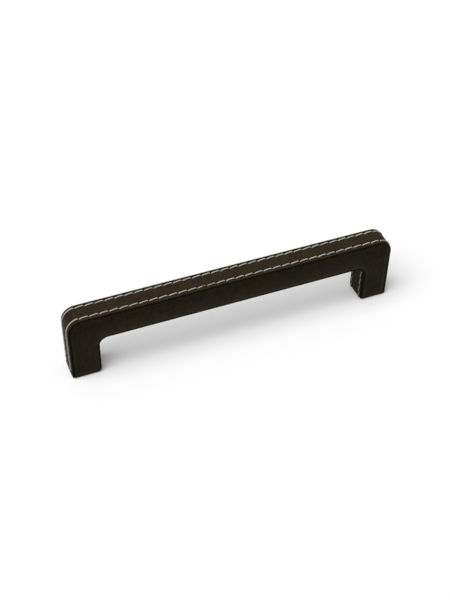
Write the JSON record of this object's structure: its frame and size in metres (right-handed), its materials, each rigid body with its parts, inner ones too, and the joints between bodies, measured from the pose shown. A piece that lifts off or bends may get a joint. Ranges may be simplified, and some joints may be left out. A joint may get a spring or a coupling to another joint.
{
  "type": "leather strap pull",
  "caption": "Rigid bow pull for a drawer or door: a metal bow in a sewn brown leather cover with pale contrast stitching.",
  "frame": {"origin": "midway between the two feet, on the plane of their undersides", "axes": "+X along the pull, +Y across it from the front side to the rear side, +Z from the feet towards the grip bar"},
  "size_m": [0.177, 0.0134, 0.0387],
  "materials": {
    "cast_zinc": "tumbled zinc casting, satin grey",
    "leather_band": "smooth dyed full-grain, low sheen",
    "leather_panel": "smooth dyed full-grain, low sheen",
    "thread": "waxed twisted polyester, off-white"
  },
  "bodies": {
    "root": {"metal_core": "cast_zinc", "outer_band": "leather_band", "inner_band": "leather_band", "front_side_panel": "leather_panel", "rear_side_panel": "leather_panel", "outer_front_thread": "thread", "outer_rear_thread": "thread", "inner_front_thread": "thread", "inner_rear_thread": "thread"}
  },
  "joints": []
}
